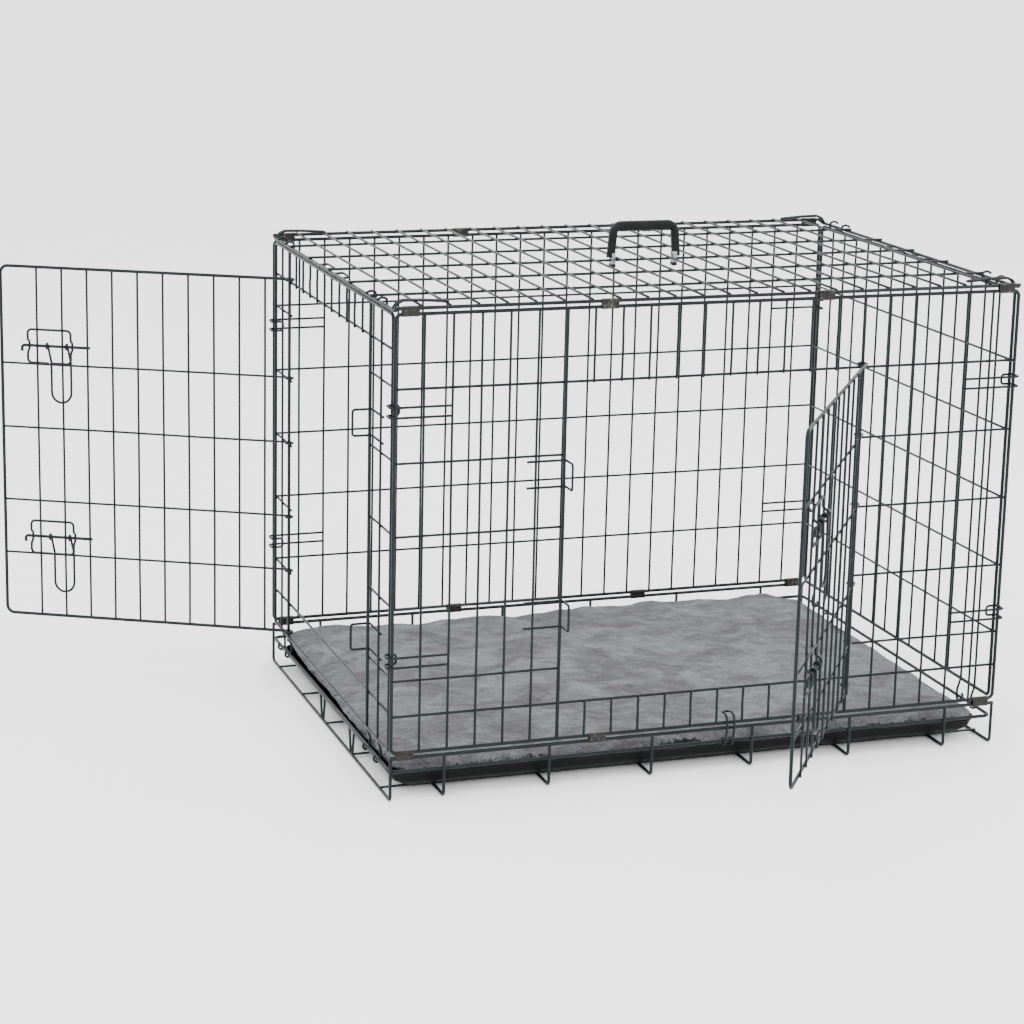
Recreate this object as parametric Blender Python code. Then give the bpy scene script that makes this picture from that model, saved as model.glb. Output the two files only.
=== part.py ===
"""A two-door folding wire crate with its tray, mat, bolts and carry handle.

X runs along the length, Y along the depth with the front at -Y, and Z up from the
floor. Places are given about the middle of the crate's floor, and the root empty puts
the origin under the middle of the fifth of the eight floor legs.
"""
import math

import bpy
import bmesh
from mathutils import Vector

# Driving dimensions, in metres
PITCH = 0.046
FRONT_PITCHES = 23
HALF_LENGTH = PITCH * FRONT_PITCHES / 2
HALF_DEPTH = 0.375
END_PITCHES = 15
END_HALF = 0.3625
END_PITCH = 2 * END_HALF / END_PITCHES
LEVEL = 0.116
PANEL_BOTTOM = 0.080
PANEL_TOP = PANEL_BOTTOM + 6 * LEVEL
RAIL_SPACING = 0.009
TOP_Z = PANEL_TOP + RAIL_SPACING
BASE_RAIL_Z = PANEL_BOTTOM - RAIL_SPACING
MID_RAIL_Z = 0.047
ORIGIN_LEG_X = HALF_LENGTH / 6
END_TOP_Z = PANEL_TOP - 0.002
TOP_END_RAIL_Z = TOP_Z - 0.0045

# Bars stand in for round wires: thin wire, doorway header, leg and rail
WIRE = 0.0030
HEADER = 0.0034
LEG = 0.0046
RAIL = 0.0048
GAP = 0.0003
LAYER = WIRE + GAP
BEND = 0.008

# Doors
LEFT_DOOR_ANGLE = math.radians(118)
FRONT_DOOR_ANGLE = math.radians(54.5)
HINGE_POST_OFFSET = 0.006
DOOR_GAPS = 10
CATCH_GAPS = 11
LEFT_HINGE_Y = END_HALF - 2 * END_PITCH
LEFT_LATCH_Y = LEFT_HINGE_Y - CATCH_GAPS * PITCH
FREE_EDGE_GAPS = 11.4
DOOR_LIFT = 0.006
BOLT_OFFSET = 0.018
BOLT_DIAMETER = 0.0046
CATCH_REACH = 0.027
CATCH_HALF_HEIGHT = 0.021

# Tray and mat
TRAY_HALF = (0.518, 0.3525)
TRAY_BOTTOM = 0.0085
TRAY_RIM = 0.0385
TRAY_WALL = 0.002
MAT_HALF = (0.510, 0.3545)
MAT_TOP = 0.055

# Carry handle
HANDLE_X = 0.020
HANDLE_HALF = 0.0595
HANDLE_HEIGHT = 0.068
LONG_WIRE_Z = TOP_Z - 0.0005

# The top's cross wires stand a little left of the panels' uprights
CROSS_SHIFT = 0.006
HAIRPIN_Y = HALF_DEPTH - 0.016
HAIRPIN_LENGTH = 0.087


def level(number):
    """Height of a panel's level: 0 is the top rail and 6 is the bottom rail."""
    return PANEL_BOTTOM + (6 - number) * LEVEL


LEFT_DOOR_HEIGHTS = (level(0.45), level(2) + DOOR_LIFT, level(3) + DOOR_LIFT,
                     level(4.1), level(5) + DOOR_LIFT, level(5.93))
FRONT_DOOR_HEIGHTS = (level(1) + DOOR_LIFT, level(2) + DOOR_LIFT, level(3) + DOOR_LIFT,
                      level(4.1), level(5) + DOOR_LIFT, level(5.6))
LEFT_BOLT_HEIGHTS = {"upper": level(1.685), "lower": level(4.70)}
FRONT_BOLT_HEIGHTS = {"upper": level(2.26), "lower": level(4.225)}


def clear_scene():
    for item in list(bpy.data.objects):
        bpy.data.objects.remove(item)


def material(name, colour, roughness, metallic):
    made = bpy.data.materials.new(name)
    made.use_nodes = True
    shader = made.node_tree.nodes["Principled BSDF"]
    shader.inputs["Base Color"].default_value = (*colour, 1.0)
    shader.inputs["Roughness"].default_value = roughness
    shader.inputs["Metallic"].default_value = metallic
    return made


def sweep(points, width, normal=(0, 0, 1), closed=False, sides=4):
    """A mitred bar along a path. Its flats are width apart, and the first is square to normal."""
    path = [Vector(point) for point in points]
    count = len(path)

    def heading(start, end):
        return (path[end % count] - path[start % count]).normalized()

    incoming = heading(-1, 0) if closed else heading(0, 1)
    across = incoming.cross(Vector(normal)).normalized()
    up = across.cross(incoming)
    radius = width / 2 / math.cos(math.pi / sides)
    offsets = []
    for index in range(sides):
        angle = (index + 0.5) * 2 * math.pi / sides
        offsets.append((across * math.cos(angle) + up * math.sin(angle)) * radius)
    rings = []
    for index in range(count):
        outgoing = heading(index, index + 1) if closed or index < count - 1 else incoming
        plane = (incoming + outgoing).normalized()
        ring = [o - incoming * (o.dot(plane) / incoming.dot(plane)) for o in offsets]
        rings.append([path[index] + o for o in ring])
        offsets = [o - outgoing * o.dot(outgoing) for o in ring]
        incoming = outgoing
    return loft(rings, closed)


def loft(rings, closed=False):
    """Vertices and faces of the skin through equal rings, capped unless it closes on itself."""
    size = len(rings[0])
    vertices = [tuple(point) for ring in rings for point in ring]
    faces = []
    bands = len(rings) if closed else len(rings) - 1
    for band in range(bands):
        here = band * size
        there = (band + 1) % len(rings) * size
        for index in range(size):
            after = (index + 1) % size
            faces.append((here + index, here + after, there + after, there + index))
    if not closed:
        faces.append(tuple(range(size - 1, -1, -1)))
        faces.append(tuple(range((len(rings) - 1) * size, len(rings) * size)))
    return vertices, faces


def rounded(points, radius, steps=2, closed=False):
    """The same path with each corner turned into a short arc."""
    path = [Vector(point) for point in points]
    result = []
    for index, corner in enumerate(path):
        if not closed and index in (0, len(path) - 1):
            result.append(corner)
            continue
        back = (path[index - 1] - corner).normalized()
        ahead = (path[(index + 1) % len(path)] - corner).normalized()
        half = back.angle(ahead) / 2
        start = corner + back * (radius / math.tan(half))
        centre = corner + (back + ahead).normalized() * (radius / math.sin(half))
        end = corner + ahead * (radius / math.tan(half))
        for step in range(steps + 1):
            blend = start.lerp(end, step / steps) - centre
            result.append(centre + blend.normalized() * radius)
    return result


def arc(centre, radius, angles):
    """Points round a centre, as pairs, with the angles in degrees."""
    return [(centre[0] + radius * math.cos(math.radians(a)),
             centre[1] + radius * math.sin(math.radians(a))) for a in angles]


def outline(half_x, half_y, radius, z, steps=3):
    """A level rectangle with rounded corners, as a ring of points."""
    ring = []
    for corner, (sx, sy) in enumerate(((1, 1), (-1, 1), (-1, -1), (1, -1))):
        middle = (sx * (half_x - radius), sy * (half_y - radius))
        angles = [corner * 90 + step * 90 / steps for step in range(steps + 1)]
        ring.extend(Vector((x, y, z)) for x, y in arc(middle, radius, angles))
    return ring


def mesh_from(name, pieces):
    """One mesh that holds the given pieces, each with its faces pointing out."""
    build = bmesh.new()
    for vertices, faces in pieces:
        made = [build.verts.new(point) for point in vertices]
        for face in faces:
            build.faces.new([made[index] for index in face])
    bmesh.ops.recalc_face_normals(build, faces=build.faces)
    mesh = bpy.data.meshes.new(name)
    build.to_mesh(mesh)
    build.free()
    return mesh


def add(name, pieces, look, parent, welded=()):
    """A node from its pieces. The welded pieces are joined to them by a Boolean union."""
    node = bpy.data.objects.new(name, mesh_from(name, pieces))
    node.data.materials.append(look)
    node.parent = parent
    bpy.context.collection.objects.link(node)
    if welded:
        other = bpy.data.objects.new(name + "_welded", mesh_from(name + "_welded", welded))
        other.parent = parent
        other.hide_render = True
        other.display_type = "WIRE"
        bpy.context.collection.objects.link(other)
        union = node.modifiers.new("weld", "BOOLEAN")
        union.operation = "UNION"
        union.solver = "EXACT"
        union.use_self = True
        union.object = other
    return node


def axis_empty(name, location, parent, turn=0.0):
    """An empty on a joint's axis, which the moving pieces hang on."""
    empty = bpy.data.objects.new(name, None)
    empty.empty_display_size = 0.05
    empty.location = location
    empty.rotation_euler = (0, 0, turn)
    empty.parent = parent
    bpy.context.collection.objects.link(empty)
    return empty


def panel_frame(place, half, top, bottom):
    """The rail round a panel, with bent corners."""
    corners = [place(-half, bottom, 0), place(half, bottom, 0), place(half, top, 0), place(-half, top, 0)]
    across = Vector(place(0, 0, 1)) - Vector(place(0, 0, 0))
    return sweep(rounded(corners, BEND, closed=True), RAIL, across, closed=True)


def upright(place, u, top, bottom, width=WIRE):
    return sweep([place(u, top, 0), place(u, bottom, 0)], width, (1, 0, 0))


def crosswire(place, start, end, z, width=WIRE, depth=LAYER):
    return sweep([place(start, z, depth), place(end, z, depth)], width)


def front_place(u, z, inward):
    return (u, -HALF_DEPTH + inward, z)


def back_place(u, z, inward):
    return (u, HALF_DEPTH - inward, z)


def make_front_panel(root, paint):
    """The doorway runs from upright 6 to upright 17, between levels 1 and 5.5."""
    place = front_place
    posts = (6, 17)
    rails = [panel_frame(place, HALF_LENGTH, PANEL_TOP, PANEL_BOTTOM)]
    for number in (1, 5.5):
        rails.append(crosswire(place, -HALF_LENGTH, HALF_LENGTH, level(number), HEADER, 0))
    uprights = []
    for index in range(1, FRONT_PITCHES):
        u = -HALF_LENGTH + index * PITCH
        if index in posts:
            uprights.append(upright(place, u, PANEL_TOP, PANEL_BOTTOM, RAIL - 0.0004))
        elif index < posts[0] or index > posts[1]:
            uprights.append(upright(place, u, PANEL_TOP, PANEL_BOTTOM))
        else:
            uprights.append(upright(place, u, PANEL_TOP, level(1)))
            uprights.append(upright(place, u, level(5.5), PANEL_BOTTOM))
    doorway = (-HALF_LENGTH + posts[0] * PITCH, -HALF_LENGTH + posts[1] * PITCH)
    for number in (2, 3, 4, 5):
        uprights.append(crosswire(place, -HALF_LENGTH, doorway[0], level(number)))
        uprights.append(crosswire(place, doorway[1], HALF_LENGTH, level(number)))
    add("front_panel", rails, paint, root, uprights)


def make_back_panel(root, paint):
    place = back_place
    rails = [panel_frame(place, HALF_LENGTH, PANEL_TOP, PANEL_BOTTOM)]
    wires = []
    for index in range(1, FRONT_PITCHES):
        wires.append(upright(place, -HALF_LENGTH + index * PITCH, PANEL_TOP, PANEL_BOTTOM))
    for number in range(1, 6):
        wires.append(crosswire(place, -HALF_LENGTH, HALF_LENGTH, level(number)))
    add("back_panel", rails, paint, root, wires)


def hairpin(side, y):
    """A doubled wire that rises from an end rail and runs in over the cross wires."""
    inner = side * (HALF_LENGTH - HAIRPIN_LENGTH)
    leg = [(side * HALF_LENGTH, TOP_END_RAIL_Z + 0.0020), (side * (HALF_LENGTH - 0.011), TOP_Z + 0.0095),
           (side * (HALF_LENGTH - 0.045), TOP_Z + 0.0090), (inner, TOP_Z + 0.0057)]
    path = [(x, y - 0.0035, z) for x, z in leg] + [(x, y + 0.0035, z) for x, z in reversed(leg)]
    return sweep(path, WIRE - 0.0002, (0, 1, 0))


def make_top_panel(root, paint):
    """Two long rails, two lower end rails, long wires on the end rails, cross wires on top."""
    rails = []
    for side in (-1, 1):
        y = side * HALF_DEPTH
        rails.append(sweep([(-HALF_LENGTH - 0.0024, y, TOP_Z), (HALF_LENGTH + 0.0024, y, TOP_Z)], RAIL))
    welded = []
    for side in (-1, 1):
        x = side * HALF_LENGTH
        reach = HALF_DEPTH + 0.0020
        welded.append(sweep([(x, -reach, TOP_END_RAIL_Z), (x, reach, TOP_END_RAIL_Z)], RAIL - 0.0002))
        for y in (-HAIRPIN_Y, HAIRPIN_Y):
            welded.append(hairpin(side, y))
    cross_z = TOP_Z + 0.0033
    for index in range(1, FRONT_PITCHES):
        x = -HALF_LENGTH + index * PITCH - CROSS_SHIFT
        welded.append(sweep([(x, -HALF_DEPTH - 0.0012, cross_z), (x, HALF_DEPTH + 0.0012, cross_z)], WIRE))
    for index in range(-2, 3):
        y = index * HALF_DEPTH / 3
        reach = HALF_LENGTH - 0.014
        welded.append(sweep([(-HALF_LENGTH - 0.0012, y, TOP_END_RAIL_Z + 0.0028),
                             (-reach, y, LONG_WIRE_Z), (reach, y, LONG_WIRE_Z),
                             (HALF_LENGTH + 0.0012, y, TOP_END_RAIL_Z + 0.0028)], WIRE))
    add("top_panel", rails, paint, root, welded)


def make_base(root, paint):
    """A basket: U-shaped legs under two long rails, a rail round it at mid height, floor wires."""
    rails = []
    for side in (-1, 1):
        y = side * HALF_DEPTH
        rails.append(sweep([(-HALF_LENGTH - 0.0024, y, BASE_RAIL_Z), (HALF_LENGTH + 0.0024, y, BASE_RAIL_Z)],
                           RAIL))
    reach = HALF_DEPTH - 0.0039
    ring = [(-HALF_LENGTH, -reach, MID_RAIL_Z), (HALF_LENGTH, -reach, MID_RAIL_Z),
            (HALF_LENGTH, reach, MID_RAIL_Z), (-HALF_LENGTH, reach, MID_RAIL_Z)]
    rails.append(sweep(rounded(ring, BEND, closed=True), RAIL, (0, 0, 1), closed=True))
    legs = []
    stations = [-HALF_LENGTH, HALF_LENGTH] + [-HALF_LENGTH + (k + 0.5) * HALF_LENGTH / 3 for k in range(6)]
    for x in stations:
        run = [(x, -HALF_DEPTH, BASE_RAIL_Z), (x, -HALF_DEPTH, LEG / 2),
               (x, HALF_DEPTH, LEG / 2), (x, HALF_DEPTH, BASE_RAIL_Z)]
        legs.append(sweep(rounded(run, BEND), LEG, (1, 0, 0)))
    floor_z = LEG + GAP + WIRE / 2
    for share in (-0.86, -0.43, 0, 0.43, 0.86):
        y = share * HALF_DEPTH
        end = HALF_LENGTH - 0.014
        legs.append(sweep([(-HALF_LENGTH, y, 0.0036), (-end, y, floor_z), (end, y, floor_z),
                           (HALF_LENGTH, y, 0.0036)], WIRE))
    for y in (-0.152, 0.030):
        vee = [(-HALF_LENGTH, y - 0.014, MID_RAIL_Z), (-HALF_LENGTH, y - 0.005, 0.0033),
               (-HALF_LENGTH, y + 0.005, 0.0033), (-HALF_LENGTH, y + 0.014, MID_RAIL_Z)]
        legs.append(sweep(vee, WIRE, (1, 0, 0)))
    add("base_basket", rails, paint, root, legs)


def end_details(place, stations):
    """Hooks over the top's end rail, finger tabs, and loops round the base's end rail."""
    made = []
    for index in (1, 2, END_PITCHES - 2, END_PITCHES - 1):
        u = stations[index]
        top = TOP_END_RAIL_Z + 0.0044
        hook = [(0.0015, END_TOP_Z), (0.0078, END_TOP_Z + 0.003), (0.0078, top - 0.0035),
                (0.0045, top), (-0.0065, top)]
        made.append(sweep([place(u, z, w) for w, z in hook], WIRE, (0, 1, 0)))
        curl = arc((0, MID_RAIL_Z), 0.0058, (0, -45, -90, -135, -180, -225))
        tail = [(0.0, PANEL_BOTTOM), (0.0058, MID_RAIL_Z + 0.014)] + curl
        made.append(sweep([place(u, z, w) for w, z in tail], WIRE, (0, 1, 0)))
    for index in (6, 8):
        near, far = stations[index], stations[index + 1]
        tab = [place(near, END_TOP_Z, 0.001), place(near, END_TOP_Z + 0.005, 0.005),
               place(near, END_TOP_Z + 0.006, 0.018), place(far, END_TOP_Z + 0.006, 0.018),
               place(far, END_TOP_Z + 0.005, 0.005), place(far, END_TOP_Z, 0.001)]
        made.append(sweep(tab, WIRE, (0, 1, 0)))
    return made


def end_frame_and_place(side, root):
    """The empty on an end panel's fold axis, and the panel's own coordinates about it."""
    name = "left_end_fold" if side < 0 else "right_end_fold"
    empty = axis_empty(name, (side * HALF_LENGTH, 0, MID_RAIL_Z), root)

    def place(u, z, inward):
        return (-side * inward, u, z - MID_RAIL_Z)

    return empty, place


def make_right_end(root, paint):
    empty, place = end_frame_and_place(1, root)
    stations = [END_HALF - index * END_PITCH for index in range(END_PITCHES + 1)]
    rails = [panel_frame(place, END_HALF, END_TOP_Z, PANEL_BOTTOM)]
    wires = end_details(place, stations)
    for u in stations[1:-1]:
        wires.append(upright(place, u, END_TOP_Z, PANEL_BOTTOM))
    for number in range(1, 6):
        wires.append(crosswire(place, -END_HALF, END_HALF, level(number)))
    add("right_end_panel", rails, paint, empty, wires)


def make_left_end(root, paint):
    """The doorway runs from upright 2 to upright 13, between levels 0.5 and 5.5."""
    empty, place = end_frame_and_place(-1, root)
    posts = (2, 13)
    stations = [END_HALF, (END_HALF + LEFT_HINGE_Y) / 2]
    stations += [LEFT_HINGE_Y - index * PITCH for index in range(CATCH_GAPS + 1)]
    stations += [(LEFT_LATCH_Y - END_HALF) / 2, -END_HALF]
    rails = [panel_frame(place, END_HALF, END_TOP_Z, PANEL_BOTTOM)]
    for number in (0.5, 5.5):
        rails.append(crosswire(place, -END_HALF, END_HALF, level(number), HEADER, 0))
    wires = end_details(place, stations)
    for index, u in enumerate(stations[1:-1], 1):
        if index in posts:
            wires.append(upright(place, u, END_TOP_Z, PANEL_BOTTOM, RAIL - 0.0004))
        elif index < posts[0] or index > posts[1]:
            wires.append(upright(place, u, END_TOP_Z, PANEL_BOTTOM))
        else:
            wires.append(upright(place, u, END_TOP_Z, level(0.5)))
    for number in range(1, 6):
        wires.append(crosswire(place, END_HALF, LEFT_HINGE_Y, level(number)))
        wires.append(crosswire(place, LEFT_LATCH_Y, -END_HALF, level(number)))
    add("left_end_panel", rails, paint, empty, wires)
    return empty, place


def make_door(name, hinge, side, heights, paint):
    """A wire door. Along it is local X, and its outer side is local Y times side."""

    def place(s, z, outward):
        return (s, side * outward, z)

    free = FREE_EDGE_GAPS * PITCH
    ring_radius = HINGE_POST_OFFSET / math.cos(math.radians(22.5))
    ring = arc((0, 0), ring_radius, (112.5, 157.5, 202.5, 247.5, 292.5, 337.5))

    def curl(z):
        return [place(s, z, n) for s, n in reversed(ring)]

    top, bottom = heights[0], heights[-1]
    corners = rounded([curl(top)[-1], place(free, top, HINGE_POST_OFFSET),
                       place(free, bottom, HINGE_POST_OFFSET), curl(bottom)[-1]], 0.012)
    frame = curl(top)[:-1] + corners + list(reversed(curl(bottom)[:-1]))
    bars = [sweep(frame, RAIL)]
    wires = []
    for z in heights[1:-1]:
        wires.append(sweep(curl(z) + [place(free, z, HINGE_POST_OFFSET)], WIRE))
    for index in range(1, DOOR_GAPS + 1):
        s = index * PITCH
        depth = HINGE_POST_OFFSET + LAYER
        ends = [place(s, top + 0.0012, depth), place(s, bottom - 0.0012, depth)]
        wires.append(sweep(ends, WIRE, (1, 0, 0)))
    add(name, bars, paint, hinge, wires)


def make_bolt(name, hinge, side, z, paint):
    """A slide bolt on a door: its keeper, the bent rod, and the pull loop that hangs on the rod."""
    catch = CATCH_GAPS * PITCH

    def keep_place(s, height, outward):
        return (s, side * outward, height)

    near, far = catch - 0.106, catch - 0.027
    depth = HINGE_POST_OFFSET + LAYER + WIRE + GAP
    ring = [keep_place(near, z - 0.030, depth), keep_place(far, z - 0.030, depth),
            keep_place(far, z + 0.030, depth), keep_place(near, z + 0.030, depth)]
    frame = [sweep(rounded(ring, 0.008, closed=True), WIRE, (0, 1, 0), closed=True)]
    arches = []
    for s in (near, far):
        arch = [keep_place(s, z + 0.0095, depth), keep_place(s, z + 0.0085, BOLT_OFFSET + 0.0045),
                keep_place(s, z - 0.0085, BOLT_OFFSET + 0.0045), keep_place(s, z - 0.0095, depth)]
        arches.append(sweep(arch, WIRE - 0.0002, (1, 0, 0)))
    add(name + "_keeper", frame, paint, hinge, arches)

    slide = axis_empty(name + "_axis", (0, side * BOLT_OFFSET, z), hinge)
    rod = [(catch - 0.140, 0, 0), (catch - 0.015, 0, 0), (catch - 0.015, 0, -0.010)]
    add(name + "_rod", [sweep(rod, BOLT_DIAMETER, sides=8)], paint, slide)

    curl = arc((0, 0), 0.0046, (-90, -135, -180, -225, -270, -315, -360))
    down = [(n, h) for n, h in curl] + [(0.0046, -0.100)]
    first, second = catch - 0.061, catch - 0.097
    path = [(first, side * n, h) for n, h in down] + [(second, side * n, h) for n, h in reversed(down)]
    add(name + "_loop", [sweep(path, WIRE, (1, 0, 0))], paint, slide)


def make_door_catch(name, place, post, z, parent, paint):
    """A U-shaped wire beside a latch post, which stands out for the bolt to pass behind."""
    inside = RAIL / 2 + GAP + WIRE / 2
    tail = post - 1.3 * PITCH
    beside = post + inside
    high, low = z + CATCH_HALF_HEIGHT, z - CATCH_HALF_HEIGHT
    path = [place(tail, high, inside), place(beside, high, inside), place(beside, high, -CATCH_REACH),
            place(beside, low, -CATCH_REACH), place(beside, low, inside), place(tail, low, inside)]
    add(name, [sweep(path, WIRE)], paint, parent)


def make_side_catch(name, place, side, z, root, paint):
    """A pair of wires that run past a corner and turn in, round the end panel's post."""
    outside = -(RAIL / 2 + GAP + WIRE / 2)
    inside = HALF_DEPTH - END_HALF + 0.005
    tail = side * (HALF_LENGTH - 2 * PITCH)
    corner = side * (HALF_LENGTH + 0.008)
    back = side * (HALF_LENGTH - 0.012)
    half = 0.008
    upper, lower = z + half, z - half
    path = [place(tail, upper, outside), place(corner, upper, outside), place(corner, upper, inside),
            place(back, upper, inside), place(back, lower, inside), place(corner, lower, inside),
            place(corner, lower, outside), place(tail, lower, outside)]
    add(name, [sweep(path, WIRE)], paint, root)


def make_clip(name, x, y, z, root, metal):
    """A sheet-metal band crimped round two rails, one above the other."""
    wall = 0.0009
    inner = (RAIL / 2 + 0.0004, RAIL_SPACING / 2 + RAIL / 2 + 0.0004)
    rings = []
    for half_y, half_z, ends in ((inner[0] + wall, inner[1] + wall, (-0.014, 0.014)),
                                 (inner[0], inner[1], (0.014, -0.014))):
        for end in ends:
            rings.append([Vector((x + end, y + sy * half_y, z + sz * half_z))
                          for sy, sz in ((-1, -1), (1, -1), (1, 1), (-1, 1))])
    add(name, [loft(rings, closed=True)], metal, root)


def make_clips(root, metal):
    for row, side in (("front", -1), ("back", 1)):
        for height, z in (("top", (TOP_Z + PANEL_TOP) / 2), ("bottom", (BASE_RAIL_Z + PANEL_BOTTOM) / 2)):
            for number, index in enumerate((0.5, 7.5, 15.5, 22.5), 1):
                x = -HALF_LENGTH + index * PITCH
                make_clip(f"clip_{row}_{height}_{number}", x, side * HALF_DEPTH, z, root, metal)


def make_tray_and_mat(root, plastic, plush):
    """A tray with a chamfered floor, and a mat that fills it and stands over its rim."""
    wall = TRAY_WALL
    rings = []
    for inset, z in ((0.024, TRAY_BOTTOM), (0.005, TRAY_BOTTOM + 0.013), (0.0, TRAY_RIM), (wall, TRAY_RIM),
                     (0.0067, TRAY_BOTTOM + 0.0143), (0.0246, TRAY_BOTTOM + wall)):
        rings.append(outline(TRAY_HALF[0] - inset, TRAY_HALF[1] - inset, 0.028 - inset / 2, z))
    add("tray", [loft(rings)], plastic, root)
    rings = []
    for inset, z in ((0.028, TRAY_BOTTOM + wall + GAP), (0.009, TRAY_RIM), (0.001, TRAY_RIM + 0.0011),
                     (0.0, TRAY_RIM + 0.005), (0.007, MAT_TOP - 0.0065), (0.037, MAT_TOP)):
        rings.append(outline(MAT_HALF[0] - inset, MAT_HALF[1] - inset, 0.030 - inset / 2, z))
    add("mat", [loft(rings)], plush, root)


def make_handle(root, plastic, metal):
    """A plastic bail on two metal straps, which turn on the top panel's middle wire."""
    hinge = axis_empty("handle_axis", (HANDLE_X, 0, LONG_WIRE_Z), root)
    start = 0.0047
    bail = [(-HANDLE_HALF, 0, start), (-HANDLE_HALF + 0.004, 0, HANDLE_HEIGHT - 0.008),
            (HANDLE_HALF - 0.004, 0, HANDLE_HEIGHT - 0.008), (HANDLE_HALF, 0, start)]
    add("handle_grip", [sweep(rounded(bail, 0.012, steps=3), 0.012, (0, 1, 0), sides=8)], plastic, hinge)
    for name, x in (("handle_strap_left", -HANDLE_HALF), ("handle_strap_right", HANDLE_HALF)):
        rings = []
        for half, bottom, ends in ((0.0040, -0.011, (-0.006, 0.006)), (0.0026, -0.0026, (0.006, -0.006))):
            for end in ends:
                rings.append([Vector((x + end, -half, bottom)), Vector((x + end, half, bottom)),
                              Vector((x + end, half, half)), Vector((x + end, -half, half))])
        add(name, [loft(rings, closed=True)], metal, hinge)


def make_fold_hook(root, paint):
    """A hairpin that turns on the front mid rail and hooks over the panel's bottom rail."""
    x, y = -HALF_LENGTH + 12.5 * PITCH, -HALF_DEPTH + 0.0039
    hinge = axis_empty("fold_hook_axis", (x, y, MID_RAIL_Z), root)
    curl = arc((0, 0), 0.0058, (45, 0, -45, -90, -135, -180))
    face = -HALF_DEPTH - 0.0075 - y
    side = curl + [(face, 0.020), (face, 0.037), (face + 0.004, 0.0455), (face + 0.0155, 0.048),
                   (face + 0.0255, 0.0455)]
    path = [(-0.0065, n, h) for n, h in side] + [(0.0065, n, h) for n, h in reversed(side)]
    add("fold_hook", [sweep(path, WIRE, (1, 0, 0))], paint, hinge)


def main():
    clear_scene()
    paint = material("wire_paint", (0.050, 0.062, 0.062), 0.38, 0.75)
    crimp = material("crimp_steel", (0.070, 0.067, 0.060), 0.40, 0.85)
    zinc = material("strap_steel", (0.62, 0.62, 0.63), 0.28, 1.0)
    plastic = material("tray_plastic", (0.012, 0.013, 0.013), 0.55, 0.0)
    grip = material("grip_plastic", (0.014, 0.016, 0.016), 0.42, 0.0)
    plush = material("mat_plush", (0.26, 0.255, 0.275), 0.95, 0.0)

    root = axis_empty("crate", (-ORIGIN_LEG_X, 0, 0), None)
    make_base(root, paint)
    make_front_panel(root, paint)
    make_back_panel(root, paint)
    make_top_panel(root, paint)
    make_clips(root, crimp)
    make_tray_and_mat(root, plastic, plush)
    make_handle(root, grip, zinc)
    make_fold_hook(root, paint)
    for row, place in (("front", front_place), ("back", back_place)):
        for end, side in (("left", -1), ("right", 1)):
            make_side_catch(f"side_catch_{row}_{end}_upper", place, side, level(1.3), root, paint)
            make_side_catch(f"side_catch_{row}_{end}_lower", place, side, level(4.72), root, paint)

    make_right_end(root, paint)
    left_end, left_place = make_left_end(root, paint)
    turn = math.atan2(-math.cos(LEFT_DOOR_ANGLE), -math.sin(LEFT_DOOR_ANGLE))
    left_hinge = axis_empty("left_door_hinge", (0, LEFT_HINGE_Y, -MID_RAIL_Z), left_end, turn)
    make_door("left_door", left_hinge, -1, LEFT_DOOR_HEIGHTS, paint)
    for word, z in LEFT_BOLT_HEIGHTS.items():
        make_bolt(f"left_{word}_bolt", left_hinge, -1, z, paint)
        make_door_catch(f"left_{word}_catch", left_place, LEFT_LATCH_Y, z, left_end, paint)

    front_post = -HALF_LENGTH + 17 * PITCH
    turn = math.atan2(-math.sin(FRONT_DOOR_ANGLE), -math.cos(FRONT_DOOR_ANGLE))
    front_hinge = axis_empty("front_door_hinge", (front_post, -HALF_DEPTH, 0), root, turn)
    make_door("front_door", front_hinge, 1, FRONT_DOOR_HEIGHTS, paint)
    for word, z in FRONT_BOLT_HEIGHTS.items():
        make_bolt(f"front_{word}_bolt", front_hinge, 1, z, paint)
        make_door_catch(f"front_{word}_catch", front_place, front_post - CATCH_GAPS * PITCH, z, root, paint)


main()
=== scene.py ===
import math
import random

import bpy
import bmesh
from mathutils import Euler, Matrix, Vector, noise


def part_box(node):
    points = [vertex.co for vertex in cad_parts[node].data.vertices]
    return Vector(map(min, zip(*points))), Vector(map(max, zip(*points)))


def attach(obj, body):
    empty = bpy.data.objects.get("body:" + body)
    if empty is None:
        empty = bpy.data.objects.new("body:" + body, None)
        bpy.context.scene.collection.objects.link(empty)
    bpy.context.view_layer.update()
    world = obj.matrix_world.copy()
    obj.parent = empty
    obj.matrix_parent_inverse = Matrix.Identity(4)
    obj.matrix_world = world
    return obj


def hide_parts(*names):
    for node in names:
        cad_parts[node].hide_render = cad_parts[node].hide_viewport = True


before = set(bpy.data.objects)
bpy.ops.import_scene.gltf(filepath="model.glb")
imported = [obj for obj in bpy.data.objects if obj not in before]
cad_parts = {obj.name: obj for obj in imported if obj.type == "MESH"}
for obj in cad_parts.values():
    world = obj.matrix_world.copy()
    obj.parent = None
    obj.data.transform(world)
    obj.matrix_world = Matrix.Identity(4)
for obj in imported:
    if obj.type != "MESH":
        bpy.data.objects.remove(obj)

random.seed(7)
noise.seed_set(7)  # noise_vector is otherwise offset by the time of day
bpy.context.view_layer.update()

# The same design numbers as the CAD's, in metres
PITCH = 0.046
FRONT_PITCHES = 23
HALF_LENGTH = PITCH * FRONT_PITCHES / 2
HALF_DEPTH = 0.375
END_PITCHES = 15
END_HALF = 0.3625
END_PITCH = 2 * END_HALF / END_PITCHES
LEVEL = 0.116
PANEL_BOTTOM = 0.080
PANEL_TOP = PANEL_BOTTOM + 6 * LEVEL
RAIL_SPACING = 0.009
TOP_Z = PANEL_TOP + RAIL_SPACING
BASE_RAIL_Z = PANEL_BOTTOM - RAIL_SPACING
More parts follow.
